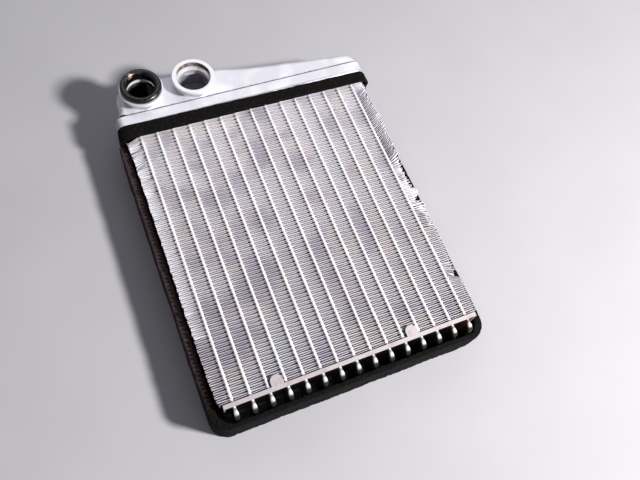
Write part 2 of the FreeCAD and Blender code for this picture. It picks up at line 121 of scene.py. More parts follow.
# Corners of a closed outline rounded by arcs: each corner (x, y, radius) is replaced by the arc
# that touches both of its sides, and the whole is sampled again at even steps.
def roundedLoop(corners, count, arcPoints=13):
    points = []
    total = len(corners)
    for index, (x, y, radius) in enumerate(corners):
        corner = np.array([x, y])
        before = np.array(corners[index - 1][:2]) - corner
        after = np.array(corners[(index + 1) % total][:2]) - corner
        before, after = before / np.linalg.norm(before), after / np.linalg.norm(after)
        half = math.acos(np.clip(np.dot(before, after), -1, 1)) / 2
        if radius <= 0:
            points.append(corner)
            continue
        centre = corner + (before + after) / np.linalg.norm(before + after) * radius / math.sin(half)
        start = corner + before * radius / math.tan(half) - centre
        end = corner + after * radius / math.tan(half) - centre
        sweep = math.atan2(start[0] * end[1] - start[1] * end[0], np.dot(start, end))
        turns = np.linspace(0, sweep, arcPoints)[:, None]
        quarter = np.array([-start[1], start[0]])
        points.extend(centre + np.cos(turns) * start + np.sin(turns) * quarter)
    return evenLoop(np.array(points), count)


# A run of points, which joins round when closed, sampled again at even steps along its length.
def evenLoop(points, count, closed=True):
    run = np.vstack([points, points[:1]]) if closed else points
    along = np.concatenate([[0], np.cumsum(np.linalg.norm(np.diff(run, axis=0), axis=1))])
    want = np.linspace(0, along[-1], count, endpoint=not closed)
    return np.stack([np.interp(want, along, run[:, axis]) for axis in range(run.shape[1])], axis=1)


# An sRGB hex value as linear red, green and blue, and full opacity.
def srgb(code):
    parts = [int(code[index:index + 2], 16) / 255 for index in (1, 3, 5)]
    linear = [part / 12.92 if part <= 0.04045 else ((part + 0.055) / 1.055) ** 2.4 for part in parts]
    return (*linear, 1.0)


# Gives a node its inputs: a socket is linked, a hex colour is turned to linear, and a number is set.
def setInputs(tree, node, inputs):
    for key, value in inputs.items():
        if isinstance(value, bpy.types.NodeSocket):
            tree.links.new(value, node.inputs[key])
        else:
            node.inputs[key].default_value = srgb(value) if isinstance(value, str) else value


# Adds a node with its settings and inputs.
def addNode(tree, kind, settings=None, inputs=None):
    node = tree.nodes.new("ShaderNode" + kind)
    for key, value in (settings or {}).items():
        setattr(node, key, value)
    setInputs(tree, node, inputs or {})
    return node


# A new material with its nodes, its shader and the piece's own coordinates.
def newMaterial(name):
    material = bpy.data.materials.new(name)
    material.use_nodes = True
    tree = material.node_tree
    shader = tree.nodes["Principled BSDF"]
    spot = addNode(tree, "TexCoord").outputs["Object"]
    return material, tree, shader, spot


# Sockets of a colour mix: the share, the colours that it goes between, and the result. Then the settings
# of a range with soft ends and of a mix of colours.
shareInput, firstColour, secondColour, mixedColour = 0, 6, 7, 2
smooth = {"interpolation_type": "SMOOTHSTEP"}
colours = {"data_type": "RGBA"}


# Patches with soft edges, from 0 to 1: noise of this size, stretched from one of its levels to another.
def addPatches(tree, spot, size, detail, low, high, roughness=0.5):
    noise = addNode(tree, "TexNoise", inputs={
        "Vector": spot, "Scale": 1 / size, "Detail": detail, "Roughness": roughness})
    return addNode(tree, "MapRange", smooth, {
        "Value": noise.outputs["Fac"], "From Min": low, "From Max": high})


# Noise of this size that raises and sinks the skin by up to this height.
def addGrain(tree, spot, size, detail, height, strength):
    noise = addNode(tree, "TexNoise", inputs={"Vector": spot, "Scale": 1 / size, "Detail": detail})
    return addNode(tree, "Bump", inputs={
        "Height": noise.outputs["Fac"], "Distance": height, "Strength": strength})


# The missed joint lies this far from the cap's left end and past the rim's edge, and from tapeEdge below that
# edge the metal is painted black as shade under the tape. Round each port, and deeper than the front by the
# given depth, the walls inside get painted shade, a tone for each port. A squash draws a round patch out
# along X.
tank = {"missedJoint": (3.7 * mm, 1.3 * mm), "gapSquash": 0.45, "gapReach": 1.4 * mm, "tapeEdge": 11.5 * mm,
        "portReach": 11.5 * mm, "portSquash": 0.8, "boreShadeDepth": 1.1 * mm,
        "boreShadeTones": ("#343136", "#A5A1AE")}


# Furnace-brazed aluminium sheet, drawn and left bare: near white and satin, with milky patches of flux film,
# faint drawing marks along X, shallow waves, a thin grey line of painted shade along the rim's upper edge and
# on the cap beside it, painted black shade in the gap where the braze missed one end of that joint, painted
# grey shade on the same end, painted black shade under the tape's edge, and painted shade on the walls
# inside, as far as the ports let one see.
def makeTankMetal(seamY, frontZ, joint, ports):
    material, tree, shader, spot = newMaterial("brazedAluminiumSheet")
    film = addPatches(tree, spot, size=16 * mm, detail=4.0, low=0.42, high=0.66)
    colour = addNode(tree, "Mix", colours, {
        shareInput: film.outputs[0], firstColour: "#D0CFD6", secondColour: "#E0DFE4"})
    place = addNode(tree, "SeparateXYZ", inputs={"Vector": spot})
    broken = addNode(tree, "TexNoise", inputs={"Vector": spot, "Scale": 1 / (2.2 * mm), "Detail": 4.0})
    wavy = addNode(tree, "Math", {"operation": "MULTIPLY_ADD"}, {
        0: broken.outputs["Fac"], 1: -1.1 * mm, 2: place.outputs["Y"]})
    # Painted shade in the joint's crevice: a thin wavy line along the rim's upper edge and on the cap beside
    # it.
    behind = addNode(tree, "MapRange", inputs={
        "Value": wavy.outputs[0], "From Min": seamY + 0.6 * mm, "From Max": seamY + 1.3 * mm, "To Min": 1.0,
        "To Max": 0.0})
    past = addNode(tree, "MapRange", inputs={
        "Value": place.outputs["Y"], "From Min": seamY - 0.45 * mm, "From Max": seamY - 0.15 * mm})
    seamShade = addNode(tree, "Math", {"operation": "MULTIPLY"}, {0: behind.outputs[0], 1: past.outputs[0]})
    # Painted black shade in the gap where the braze missed the joint's left end.
    missed = addNode(tree, "Mapping", inputs={
        "Vector": spot, "Location": (-joint[0] * tank["gapSquash"], -joint[1], 0),
        "Scale": (tank["gapSquash"], 1.0, 0)})
    near = addNode(tree, "VectorMath", {"operation": "LENGTH"}, {0: missed.outputs[0]})
    gap = addNode(tree, "MapRange", smooth, {
        "Value": near.outputs["Value"], "From Min": tank["gapReach"] - 0.5 * mm, "From Max": tank["gapReach"],
        "To Min": 1.0, "To Max": 0.0})
    # Painted grey shade on the left end, which faces away from the light.
    end = addNode(tree, "MapRange", smooth, {
        "Value": place.outputs["X"], "From Min": joint[0] - 4.6 * mm, "From Max": joint[0] - 0.6 * mm,
        "To Min": 0.75, "To Max": 0.0})
    # Painted black shade under the tape's edge.
    underTapeShade = addNode(tree, "MapRange", smooth, {
        "Value": place.outputs["Y"], "From Min": seamY - tank["tapeEdge"] - 0.6 * mm,
        "From Max": seamY - tank["tapeEdge"], "To Min": 1.0, "To Max": 0.0})
    covers = [(seamShade, "#6A666C"), (gap, "#1E1B1D"), (end, "#8D8A90"), (underTapeShade, "#1B1716")]
    # Painted shade on the walls inside, as far as each port lets one see, a tone for each port.
    for (x, y), boreShade in ports:
        flattened = addNode(tree, "Mapping", inputs={
            "Vector": spot, "Location": (-x * tank["portSquash"], -y, 0),
            "Scale": (tank["portSquash"], 1.0, 0)})
        away = addNode(tree, "VectorMath", {"operation": "LENGTH"}, {0: flattened.outputs[0]})
        close = addNode(tree, "Math", {"operation": "LESS_THAN"}, {
            0: away.outputs["Value"], 1: tank["portReach"]})
        under = addNode(tree, "Math", {"operation": "LESS_THAN"}, {
            0: place.outputs["Z"], 1: frontZ - tank["boreShadeDepth"]})
        inside = addNode(tree, "Math", {"operation": "MULTIPLY"}, {0: close.outputs[0], 1: under.outputs[0]})
        covers.append((inside, boreShade))
    for cover, tone in covers:
        colour = addNode(tree, "Mix", colours, {
            shareInput: cover.outputs[0], firstColour: colour.outputs[mixedColour], secondColour: tone})
    rough = addNode(tree, "MapRange", inputs={"Value": film.outputs[0], "To Min": 0.42, "To Max": 0.58})
    drawn = addNode(tree, "Mapping", inputs={"Vector": spot, "Scale": (0.12, 1.0, 1.0)})
    marks = addGrain(tree, drawn.outputs[0], size=1.1 * mm, detail=4.0, height=0.05 * mm, strength=0.35)
    waves = addGrain(tree, spot, size=19 * mm, detail=1.0, height=1.6 * mm, strength=0.5)
    setInputs(tree, waves, {"Normal": marks.outputs[0]})
    setInputs(tree, shader, {
        "Base Color": colour.outputs[mixedColour], "Metallic": 0.45, "Roughness": rough.outputs[0],
        "Normal": waves.outputs[0]})
    return material


# Turned aluminium, brazed in: satin like the tank, with a pinkish painted reflection on the neck, eaten to a
# dull brown-beige with black pits where coolant has dried on it, and painted grey as shade down the throat.
def makeCollarMetal():
    material, tree, shader, spot = newMaterial("turnedAluminiumCollar")
    # A pinkish painted reflection on the neck.
    heat = addNode(tree, "Attribute", {"attribute_name": "heat"})
    corrosion = addNode(tree, "Attribute", {"attribute_name": "corrosion"})
    clean = addNode(tree, "Mix", colours, {
        shareInput: heat.outputs["Fac"], firstColour: "#DEDDE1", secondColour: "#B99A9A"})
    pits = addNode(tree, "TexNoise", inputs={
        "Vector": spot, "Scale": 1 / (1.3 * mm), "Detail": 5.0, "Roughness": 0.7})
    pitted = addNode(tree, "MapRange", smooth, {
        "Value": pits.outputs["Fac"], "From Min": 0.42, "From Max": 0.6})
    crust = addNode(tree, "Mix", colours, {
        shareInput: pitted.outputs[0], firstColour: "#120D0C", secondColour: "#75604F"})
    eaten = addNode(tree, "Mix", colours, {
        shareInput: corrosion.outputs["Fac"], firstColour: clean.outputs[mixedColour],
        secondColour: crust.outputs[mixedColour]})
    # Painted shade down the throat.
    boreShade = addNode(tree, "Attribute", {"attribute_name": "boreShade"})
    colour = addNode(tree, "Mix", colours, {
        shareInput: boreShade.outputs["Fac"], firstColour: eaten.outputs[mixedColour], secondColour: "#4A4650"})
    metal = addNode(tree, "MapRange", inputs={
        "Value": corrosion.outputs["Fac"], "To Min": 0.5, "To Max": 0.05})
    rough = addNode(tree, "MapRange", inputs={
        "Value": corrosion.outputs["Fac"], "To Min": 0.36, "To Max": 0.85})
    bump = addNode(tree, "Bump", inputs={
        "Height": pits.outputs["Fac"], "Distance": 0.12 * mm, "Strength": 0.4})
    setInputs(tree, shader, {
        "Base Color": colour.outputs[mixedColour], "Metallic": metal.outputs[0],
        "Roughness": rough.outputs[0], "Normal": bump.outputs[0]})
    return material


# Folded and brazed aluminium tube: the brightest metal here, chalky with flux, and black-brown with painted
# shade where the mask puts it, deep in the core and between the comb and the foam, with one rusty spot.
def makeTubeMetal():
    material, tree, shader, spot = newMaterial("brazedAluminiumTube")
    chalk = addPatches(tree, spot, size=5 * mm, detail=4.0, low=0.4, high=0.7)
    clean = addNode(tree, "Mix", colours, {
        shareInput: chalk.outputs[0], firstColour: "#F0EFF2", secondColour: "#FAF9F9"})
    # Painted shade, from the tube's mask.
    tubeShade = addNode(tree, "Attribute", {"attribute_name": "tubeShade"})
    colour = addNode(tree, "Mix", colours, {
        shareInput: tubeShade.outputs["Fac"], firstColour: clean.outputs[mixedColour], secondColour: "#17130F"})
    rust = addNode(tree, "Attribute", {"attribute_name": "rust"})
    colour = addNode(tree, "Mix", colours, {
        shareInput: rust.outputs["Fac"], firstColour: colour.outputs[mixedColour], secondColour: "#7A3C16"})
    metal = addNode(tree, "MapRange", inputs={"Value": tubeShade.outputs["Fac"], "To Min": 0.45, "To Max": 0.1})
    rough = addNode(tree, "MapRange", inputs={"Value": chalk.outputs[0], "To Min": 0.34, "To Max": 0.5})
    bump = addGrain(tree, spot, size=0.8 * mm, detail=3.0, height=0.03 * mm, strength=0.3)
    setInputs(tree, shader, {
        "Base Color": colour.outputs[mixedColour], "Metallic": metal.outputs[0],
        "Roughness": rough.outputs[0], "Normal": bump.outputs[0]})
    return material


# Rolled aluminium foil, about 0.1 mm thick: light, with pinkish stretches and duller lavender patches of
# oxide from the brazing furnace, and painted dark as shade where it lies deep. Where it was bent over it is
# rubbed bright by fine scratches, which scatter the light, so it is set less metallic there.
def makeFoil():
    material, tree, shader, spot = newMaterial("rolledAluminiumFoil")
    oxide = addPatches(tree, spot, size=21 * mm, detail=3.0, low=0.42, high=0.68)
    tint = addPatches(tree, spot, size=24 * mm, detail=3.0, low=0.38, high=0.62)
    clean = addNode(tree, "Mix", colours, {
        shareInput: tint.outputs[0], firstColour: "#F3F1F9", secondColour: "#F8F1F3"})
    dull = addNode(tree, "Mix", colours, {
        shareInput: oxide.outputs[0], firstColour: clean.outputs[mixedColour], secondColour: "#CCC5D3"})
    rubbed = addNode(tree, "Attribute", {"attribute_name": "rubbed"})
    bright = addNode(tree, "Mix", colours, {
        shareInput: rubbed.outputs["Fac"], firstColour: dull.outputs[mixedColour], secondColour: "#F5F3F9"})
    # Painted shade with depth, from the foil's mask.
    foilShade = addNode(tree, "Attribute", {"attribute_name": "foilShade"})
    colour = addNode(tree, "Mix", colours, {
        shareInput: foilShade.outputs["Fac"], firstColour: bright.outputs[mixedColour], secondColour: "#242124"})
    sheen = addNode(tree, "MapRange", inputs={"Value": foilShade.outputs["Fac"], "To Min": 0.38, "To Max": 0.2})
    metal = addNode(tree, "Math", {"operation": "MULTIPLY_ADD"}, {
        0: rubbed.outputs["Fac"], 1: -0.2, 2: sheen.outputs[0]})
    rough = addNode(tree, "MapRange", inputs={"Value": oxide.outputs[0], "To Min": 0.38, "To Max": 0.6})
    setInputs(tree, shader, {
        "Base Color": colour.outputs[mixedColour], "Metallic": metal.outputs[0],
        "Roughness": rough.outputs[0]})
    return material


# Die-cut aluminium strip: matte, with a faint pinkish oxide and a chalky bloom.
def makeCombMetal():
    material, tree, shader, spot = newMaterial("dieCutAluminiumStrip")
    oxide = addPatches(tree, spot, size=4 * mm, detail=5.0, low=0.4, high=0.68)
    colour = addNode(tree, "Mix", colours, {
        shareInput: oxide.outputs[0], firstColour: "#BCB4B6", secondColour: "#9F9497"})
    rough = addNode(tree, "MapRange", inputs={"Value": oxide.outputs[0], "To Min": 0.45, "To Max": 0.65})
    bump = addGrain(tree, spot, size=0.7 * mm, detail=3.0, height=0.06 * mm, strength=0.5)
    setInputs(tree, shader, {
        "Base Color": colour.outputs[mixedColour], "Metallic": 0.6, "Roughness": rough.outputs[0],
        "Normal": bump.outputs[0]})
    return material


# Moulded nitrile rubber: near black and rather glossy, greyer where pipes have rubbed it, with a
# beige crust of dried coolant where the mask says.
def makeRubber():
    material, tree, shader, spot = newMaterial("mouldedNitrileRubber")
    worn = addPatches(tree, spot, size=3 * mm, detail=5.0, low=0.45, high=0.7)
    clean = addNode(tree, "Mix", colours, {
        shareInput: worn.outputs[0], firstColour: "#0B0A0B", secondColour: "#1C1A1C"})
    crust = addNode(tree, "Attribute", {"attribute_name": "crust"})
    colour = addNode(tree, "Mix", colours, {
        shareInput: crust.outputs["Fac"], firstColour: clean.outputs[mixedColour], secondColour: "#94796A"})
    rough = addNode(tree, "MapRange", inputs={"Value": worn.outputs[0], "To Min": 0.2, "To Max": 0.45})
    bump = addGrain(tree, spot, size=0.6 * mm, detail=4.0, height=0.06 * mm, strength=0.5)
    setInputs(tree, shader, {
        "Base Color": colour.outputs[mixedColour], "Roughness": rough.outputs[0], "Normal": bump.outputs[0]})
    return material


# Open-cell polyurethane foam, aged and oily: matte brown-black, full of pores, and a lighter maroon-grey
# where the mask puts painted light.
def makeFoam():
    material, tree, shader, spot = newMaterial("agedOpenCellFoam")
    cells = addNode(tree, "TexVoronoi", inputs={"Vector": spot, "Scale": 1 / (1.1 * mm)})
    crumbs = addPatches(tree, spot, size=1.8 * mm, detail=5.0, low=0.52, high=0.76, roughness=0.7)
    black = addNode(tree, "Mix", colours, {
        shareInput: crumbs.outputs[0], firstColour: "#060505", secondColour: "#231916"})
    grey = addNode(tree, "Mix", colours, {
        shareInput: crumbs.outputs[0], firstColour: "#382B2E", secondColour: "#5C4B4C"})
    # Painted light: lighter where the mask says.
    foamLight = addNode(tree, "Attribute", {"attribute_name": "foamLight"})
    colour = addNode(tree, "Mix", colours, {
        shareInput: foamLight.outputs["Fac"], firstColour: black.outputs[mixedColour],
        secondColour: grey.outputs[mixedColour]})
    bump = addNode(tree, "Bump", inputs={
        "Height": cells.outputs["Distance"], "Distance": 0.35 * mm, "Strength": 0.8})
    setInputs(tree, shader, {
        "Base Color": colour.outputs[mixedColour], "Roughness": 0.92, "Specular IOR Level": 0.12,
        "Normal": bump.outputs[0]})
    return material


capLow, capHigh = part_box("tank_cap")
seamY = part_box("header_plate")[1][1]
joint = (capLow[0] + tank["missedJoint"][0], seamY + tank["missedJoint"][1])
portPlaces = [tuple(np.mean(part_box(node), axis=0)[:2]) for node in ("left_port", "right_port")]
tankMetal = makeTankMetal(seamY, capHigh[2], joint, list(zip(portPlaces, tank["boreShadeTones"])))
collarMetal = makeCollarMetal()
tubeMetal = makeTubeMetal()
foil = makeFoil()
combMetal = makeCombMetal()
rubber = makeRubber()
foam = makeFoam()
print("materials ready")


# Gives a new piece its material, hangs it under the root body, and hides the CAD node whose place it takes.
def fitPiece(piece, material, node):
    piece.data.materials.append(material)
    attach(piece, "root")
    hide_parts(node)


# The swell meets the end circle at about these shares of its radius: above its centre, and to each side.
tube = {"neckThick": 1.6 * mm, "neckStart": 0.8 * mm, "bulbRadius": 1.7 * mm, "turnRadius": 5 * mm,
        "swellMeets": (0.42, 0.9), "tipThick": 0.04 * mm, "blunt": 0.6, "dent": 0.05 * mm,
        "sides": (-0.93, -0.85, -0.7, -0.4, 0.4, 0.7, 0.85, 0.93), "arc": 12, "rows": (30, 8, 13),
        "straightTo": 1.2 * mm, "neckFrom": 0.4 * mm, "rustAt": (67.6 * mm, -100.3 * mm),
        "rustReach": 1.3 * mm, "seed": 3}
# Painted shade on the tubes: how deep each flank stays lit, the fade and darkness of the flank's shade, and
# below the comb the spans and darkness of the shade in the pocket, at the stem and at the tip, and the least
# shade anywhere.
paintedTubeShade = {"leftLitDepth": 0.35 * mm, "rightLitDepth": 0.9 * mm, "flankFade": 1 * mm, "flank": 0.9,
             "pocket": (-0.3 * mm, 1.6 * mm), "stemFrom": (1.4 * mm, 3.2 * mm), "stem": 0.78,
             "tipFrom": (0.4 * mm, 3.6 * mm), "tip": 0.95, "least": 0.42}


# A stadium section runs down the tube, as thick as the gap between two fin rows. Past the comb its
# thickness swells along an S-curve to the end circle and follows it; its depth pulls in along a quarter
# circle at the end. Two blunt half ovals, x = cos^0.6 and z = sin of one angle, and two flat sides make
# the section, and slow noise dents it a little. The rows of points are even down the tube and through
# the neck, and at even angles round the end circle.
def tubeRings(box, combEnd, sheet):
    (left, low, back), (right, high, front) = box
    radius, turn = tube["bulbRadius"], tube["turnRadius"]
    centreY = low + radius
    circleStart, circleWidth = centreY + radius * tube["swellMeets"][0], radius * tube["swellMeets"][1]
    straightRows, neckRows, endRows = tube["rows"]
    straight = np.linspace(high, combEnd + tube["straightTo"], straightRows)
    neck = np.linspace(combEnd + tube["neckFrom"], centreY + radius * 0.5, neckRows)
    bow = low + radius * (1 - np.cos(np.linspace(1.15, 0.02, endRows) * math.pi / 2))
    y = np.concatenate([straight, neck, bow[bow < neck[-1] - 0.1 * mm]])
    circle = np.sqrt(np.clip(radius ** 2 - (y - centreY) ** 2, (tube["tipThick"] / 2) ** 2, None))
    neckHalf, start = tube["neckThick"] / 2, tube["neckStart"]
    flare = neckHalf + (circleWidth - neckHalf) * easeStep(combEnd - y, start, combEnd - circleStart)
    halfThick = np.where(y > combEnd + start, sheet / 2, np.where(y > circleStart, flare, circle))
    fromEnd = np.clip(turn - (y - low), 0, turn)
    pull = turn - np.sqrt(np.clip(turn ** 2 - fromEnd ** 2, 0, None))
    halfDepth = (front - back) / 2 - pull
    arc = np.linspace(0, math.pi, tube["arc"])
    side = np.array(tube["sides"])
    nose = np.sign(np.cos(arc)) * np.abs(np.cos(arc)) ** tube["blunt"]
    across = np.concatenate([nose, -np.ones(len(side)), -nose, np.ones(len(side))])
    bulge = np.concatenate([np.sin(arc), 0 * side, -np.sin(arc), 0 * side])
    along = np.concatenate([np.ones(len(arc)), -side, -np.ones(len(arc)), side])
    reach = np.maximum(halfDepth - halfThick, 0)
    x = (left + right) / 2 + halfThick[:, None] * across
    z = (front + back) / 2 + reach[:, None] * along + halfThick[:, None] * bulge
    rings = np.stack([x, np.broadcast_to(y[:, None], x.shape), z], axis=-1)
    rings[..., 2] -= tube["dent"] * (1 + smoothNoise(rings, 6 * mm, tube["seed"])) * along
    rings[..., 0] += tube["dent"] * smoothNoise(rings, 14 * mm, tube["seed"] + 1)
    return rings, tubeShadeMask(rings, box, combEnd, across > 0)


# Painted shade on the tube. Above the comb a flank darkens with depth, later on the right, which faces the
# light. Below the comb whatever lies deep is painted black, and so are the stem beside the comb, where the
# comb casts its shadow, and the tip of the round end, which turns away from the light. The rest is painted a
# little grey.
def tubeShadeMask(rings, box, combEnd, onRight):
    low, back, front = box[0][1], box[0][2], box[1][2]
    deep = np.minimum(front - rings[..., 2], rings[..., 2] - back)
    litTo = np.where(onRight, paintedTubeShade["rightLitDepth"], paintedTubeShade["leftLitDepth"])[None, :]
    flank = paintedTubeShade["flank"] * easeStep(deep, litTo, litTo + paintedTubeShade["flankFade"])
    underComb = combEnd - rings[..., 1]
    pocket = easeStep(deep, *paintedTubeShade["pocket"])
    stem = paintedTubeShade["stem"] * (1 - easeStep(underComb, *paintedTubeShade["stemFrom"]))
    tip = paintedTubeShade["tip"] * (1 - easeStep(rings[..., 1] - low, *paintedTubeShade["tipFrom"]))
    below = easeStep(underComb, -0.2 * mm, 1.2 * mm)
    return below * np.maximum.reduce([pocket, tip, stem, 0 * tip + paintedTubeShade["least"]]) + (1 - below) * flank


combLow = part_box("end_comb")[0][1]
tubeNodes = sorted(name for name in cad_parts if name.startswith("tube_"))
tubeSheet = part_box("fin_02")[0][0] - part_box("fin_01")[1][0]
for node in tubeNodes:
    rings, tubeShade = tubeRings(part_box(node), combLow, tubeSheet)
    fromRust = flatDistance(rings, tube["rustAt"]) / tube["rustReach"]
    rust = 1 - easeStep(fromRust + 0.4 * smoothNoise(rings, 1.2 * mm, tube["seed"]), 0.6, 1)
    piece = skinPiece("flatTube" + node[-2:], rings, masks={"tubeShade": tubeShade, "rust": rust})
    fitPiece(piece, tubeMetal, node)
print("tubes ready")


# Foil is unshaded down to one depth and painted black as shade from another, each given for the wide margin,
# the lower leg of each fold on the right, and the rest.
fin = {"wave": 2.39 * mm, "foil": 0.13 * mm, "foldFlat": 0.92 * mm, "margins": (0.8 * mm, 1.5 * mm),
       "setBack": 0.55 * mm, "rim": 0.6 * mm, "slatPitch": 1.3 * mm, "slatGap": 0.04 * mm,
       "slatRise": 0.28 * mm, "slatsPerFace": 3, "lean": 0.09 * mm, "leanReach": 5 * mm,
       "litTo": (-0.3 * mm, 0.15 * mm, 0.9 * mm), "shadedFrom": (0.6 * mm, 1.9 * mm, 3.4 * mm), "seed": 21}

# How foil tears in both rows: the sizes of its patches, teeth, crumples and dents, the reach of a split, how
# deep the front turns over and is rubbed, how much of the painted shade rubbing takes away, and which outer
# share, being lit, loses its painted shade.
tear = {"patchCell": 4.5 * mm, "toothCell": 1.9 * mm, "crumpleCell": 3.2 * mm, "dentCell": 4 * mm,
        "dentDepth": 25 * mm, "splitReach": 1.5 * mm, "foldDepth": 3.2 * mm, "rubDepth": (3 * mm, 9 * mm),
        "rubLiftsShade": 0.9, "outerShare": (0.86, 0.97)}

# Wear of the two open rows, in millimetres. The wear fades with depth behind the face, from the first depth
# to the second; ragged is how unevenly the outer folds stick out, the value after it the share of the painted
# shade that their open side lacks, being lit, and fold and drop how far a bent front turns down and back.
# Edge is where the outer folds stand now, as (y, x). Bent says where the foil's front is folded over flat, as
# (from y, to y, least, spread); sheared is (from y, to y, slope), crushed and bright, the rubbed stretches,
# are (from y, to y, amount), and split is (y, gap).
wear = {
    "fin_01": {"side": -1, "depth": (6, 23), "ragged": 0.35, "openSideLit": 0, "fold": 2.4, "drop": 1.3,
               "edge": [(-97, -75.8), (-94, -76.6), (-70, -77.1), (42, -76.9), (58, -76.8), (66, -77.5)],
               "bent": [(27, 72, 0.15, 1.1), (-20, 24, -0.55, 1.0)],
               "bright": [(26, 74, 1.3), (-60, 26, 0.9)],
               "sheared": [(50, 72, -0.12)], "crushed": [(30, 72, 0.5), (-40, 28, 0.15)],
               "split": [(61, 0.7), (-45, 0.5), (-59.5, 0.5)]},
    "fin_16": {"side": 1, "depth": (6, 23), "ragged": 0.7, "openSideLit": 0.8, "fold": 2.4, "drop": 1.3,
               "edge": [(-97, 76.4), (-72.6, 77.3), (-71, 74.4), (-69.8, 73.4), (-67.4, 76), (-59, 76.8),
                        (-46, 77.5), (-42, 77.2), (-39, 75.2), (-37, 77.2), (-26, 77.5), (-23, 77.2),
                        (-21.5, 73.2), (-18.5, 75.2), (-16.5, 77.5), (-13.5, 77.4), (-10, 75.9), (0, 75.3),
                        (2, 74.8), (5, 76.5), (20, 77.4), (40, 77.4), (50, 76.9), (69, 76.9)],
               "bent": [(-39.5, -24, 0.9, 0.1), (-23, 8, -0.1, 1.1), (8, 58, -0.2, 0.5)],
               "bright": [(4, 70, 1.0), (-40, 4, 0.8)],
               "sheared": [(6, 62, 0.55), (-76, -66, -0.4)], "crushed": [(-30, 8, 1.0), (-70, -41, 0.25)],
               "split": [(58, 0.8), (55, 0.6), (-70, 0.8)]}}


# One foil sheet, seen from the front: a square fold flat on one tube, a leg that crosses to the next tube, a
# fold there, and so on down the row. Each ring is the foil's thickness at one place of that path, run from
# the front face to the back. Between its folds the foil is cut into slats that each slant, so y saws up and
# down along z: each slat's edge nearer the face is higher by the rise, and its deeper edge lower by as much.
# The plain margins beside the folds are narrow on the left and wide on the right. Near the faces the legs
# lean unevenly. The painted shade mask grows with depth, sooner on the lower leg of each fold on the right,
# and soonest in the wide margin, which has one more ring for it.
def finRings(box, seed):
    (left, low, back), (right, high, front) = box
    front, back = front - fin["setBack"], back + fin["setBack"]
    legs = 2 * round((high - low) / fin["wave"])
    flat, foilHalf = fin["foldFlat"], fin["foil"] / 2
    legHeight = (high - low - flat) / legs
    half = (right - left) / 2 - foilHalf
    leg = np.arange(legs)[:, None]
    side = np.where(leg % 2 == 0, -1.0, 1.0)
    narrow, wide = (margin / (2 * half) for margin in fin["margins"])
    middle = wide * 0.28  # the ring inside the wide margin
    share = np.where(leg % 2 == 0, [0, 0, narrow, 1 - wide, 1 - middle], [0, 0, middle, wide, 1 - narrow])
    x = (left + right) / 2 + side * half * (1 - 2 * share)
    y = high - leg * legHeight - np.array([0, flat, flat, flat, flat]) - share * (legHeight - flat)
    lastSide = -1.0 if legs % 2 == 0 else 1.0
    x = np.append(x.ravel(), np.full(2, (left + right) / 2 + lastSide * half))
    y = np.append(y.ravel(), [low + flat, low])
    tangent = np.stack([np.gradient(x), np.gradient(y)], axis=1)
    tangent /= np.linalg.norm(tangent, axis=1)[:, None]
    slatted = np.append(np.isin(share, (narrow, 1 - narrow, wide, 1 - wide)).ravel(), [False, False])
    hollow = np.append((share == middle).ravel(), [False, False])
    shady = np.append(np.broadcast_to(leg % 2 == 1, share.shape).ravel(), [False, False])

    starts = fin["rim"] + np.arange(fin["slatsPerFace"]) * fin["slatPitch"]
    slatEnds = np.stack([starts + fin["slatGap"], starts + fin["slatPitch"] - fin["slatGap"]], axis=1).ravel()
    depth = np.concatenate([[0], slatEnds, [slatEnds[-1] + fin["slatPitch"]]])
    saw = np.concatenate([[0], np.tile([1.0, -1.0], len(starts)), [0]]) * fin["slatRise"]
    z = np.concatenate([front - depth, (back + depth)[::-1]])
    saw = np.concatenate([saw, saw[::-1]])
    offset = np.where(slatted[:, None], saw[None, :], 0.0)
    faces = []
    for turned in (1, -1):
        grid = np.empty((len(x), len(z), 3))
        grid[..., 0] = (x - turned * foilHalf * tangent[:, 1])[:, None]
        grid[..., 1] = (y + turned * foilHalf * tangent[:, 0])[:, None] + offset
        grid[..., 2] = z
        faces.append(grid if turned > 0 else grid[:, ::-1])
    rings = np.concatenate(faces, axis=1)
    deep = (front - back) / 2 - np.abs(rings[..., 2] - (front + back) / 2)
    nearFace = 1 - easeStep(deep, 0, fin["leanReach"])
    rings[..., 1] += fin["lean"] * smoothNoise(rings * [0.5, 1, 0.3], 2.5 * mm, seed) * nearFace
    litTo, shadedFrom = (np.select([hollow, shady], fin[key][:2], fin[key][2])[:, None]
                          for key in ("litTo", "shadedFrom"))
    return rings, easeStep(deep, litTo, shadedFrom)


# A stretch from start to end along y, with soft ends.
def stretch(y, start, end, soft=2.5 * mm):
    return easeStep(y, start - soft / 2, start + soft / 2) * (1 - easeStep(y, end - soft / 2, end + soft / 2))


